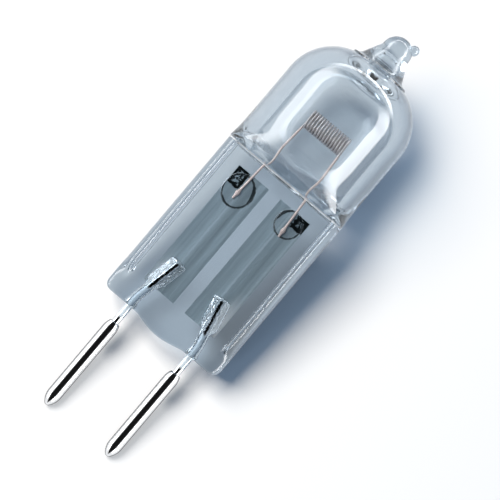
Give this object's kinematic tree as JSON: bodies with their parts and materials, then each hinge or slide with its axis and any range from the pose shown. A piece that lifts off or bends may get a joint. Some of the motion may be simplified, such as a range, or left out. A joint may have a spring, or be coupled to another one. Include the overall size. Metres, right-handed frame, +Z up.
{
  "type": "halogen capsule bulb",
  "caption": "Low-voltage halogen capsule lamp: quartz bulb with a sealed exhaust tip over a flat pinch seal, transverse coil filament, sealing foils and straight contact pins",
  "frame": {"origin": "on the floor under the middle of the lamp as it lies, at the bottom centre of its box", "axes": "+X from the pins to the exhaust tip, +Y to the left pin as seen from above with the tip away, +Z up; the lamp lies on the belly of its bulb and on both pin noses, so its own axis rises about 10 degrees towards the tip, with the front face of the pinch seal up"},
  "size_m": [0.0402, 0.0116, 0.012],
  "materials": {
    "quartz": "clear fused quartz with a faint blue-grey cast",
    "tungsten": "bare drawn tungsten wire, grey-brown",
    "molybdenum_foil": "thin rolled molybdenum, satin grey",
    "molybdenum_wire": "drawn molybdenum wire, dark grey",
    "pin_metal": "bright nickel, polished"
  },
  "bodies": {
    "root": {"glass_envelope": "quartz", "filament": "tungsten", "foil_left": "molybdenum_foil", "foil_right": "molybdenum_foil", "lead_wire_left": "molybdenum_wire", "lead_wire_right": "molybdenum_wire", "contact_pin_left": "pin_metal", "contact_pin_right": "pin_metal"}
  },
  "joints": []
}
